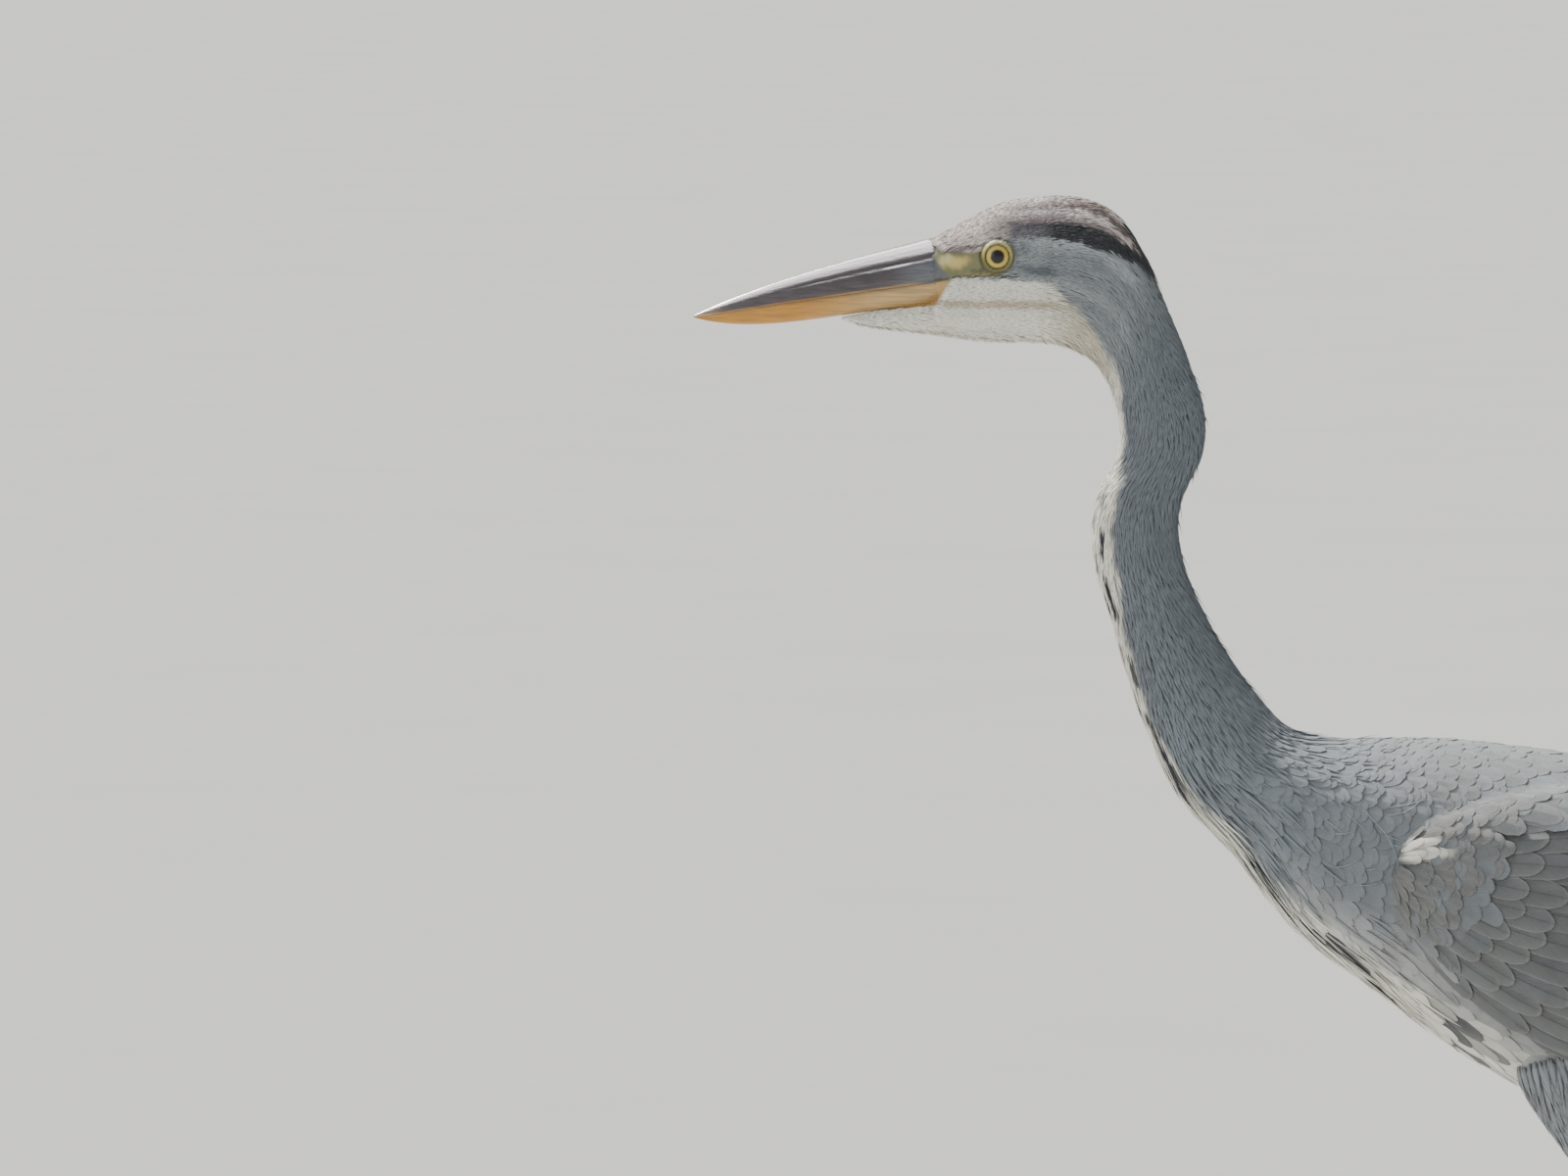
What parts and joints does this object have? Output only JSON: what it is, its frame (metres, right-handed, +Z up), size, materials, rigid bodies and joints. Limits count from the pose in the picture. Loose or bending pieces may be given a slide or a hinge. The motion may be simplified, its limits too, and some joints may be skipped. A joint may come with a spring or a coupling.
{
  "type": "grey heron model",
  "caption": "Life-size young grey heron standing on its own feet, neck in a soft S, bill level, wings folded over the back.",
  "frame": {"origin": "On the floor under the middle of the bird's box, between bill tip and wing tips and between its two sides. The feet stand on z = 0.", "axes": "+Z is up. The bill points along -X and the tail along +X. The bird's left side faces -Y and its right side +Y."},
  "size_m": [0.78, 0.1644, 0.7],
  "materials": {
    "face_feathers": "soft short plumage, pale grey with a dark crown stripe and white cheek and throat",
    "neck_feathers": "velvety blue-grey plumage",
    "body_feathers": "loose grey and off-white plumage",
    "flight_feathers": "smooth slate-grey vanes",
    "bill_dark": "smooth dark horn",
    "bill_orange": "smooth orange-yellow horn",
    "eye": "wet gloss, yellow iris and black pupil",
    "leg_skin": "scaly grey-green skin",
    "claw_horn": "dark horn"
  },
  "bodies": {
    "root": {"head": "face_feathers", "neck_upper": "neck_feathers", "neck_middle": "neck_feathers", "neck_lower": "neck_feathers", "trunk": "body_feathers", "tail": "flight_feathers", "bill_upper": "bill_dark", "bill_lower": "bill_orange", "eye_left": "eye", "wing_left": "flight_feathers", "wing_tip_left": "flight_feathers", "thigh_left": "body_feathers", "shank_left": "leg_skin", "tarsus_left": "leg_skin", "toe_inner_left": "leg_skin", "claw_inner_left": "claw_horn", "toe_middle_left": "leg_skin", "claw_middle_left": "claw_horn", "toe_outer_left": "leg_skin", "claw_outer_left": "claw_horn", "toe_hind_left": "leg_skin", "claw_hind_left": "claw_horn", "eye_right": "eye", "wing_right": "flight_feathers", "wing_tip_right": "flight_feathers", "thigh_right": "body_feathers", "shank_right": "leg_skin", "tarsus_right": "leg_skin", "toe_inner_right": "leg_skin", "claw_inner_right": "claw_horn", "toe_middle_right": "leg_skin", "claw_middle_right": "claw_horn", "toe_outer_right": "leg_skin", "claw_outer_right": "claw_horn", "toe_hind_right": "leg_skin", "claw_hind_right": "claw_horn"}
  },
  "joints": []
}
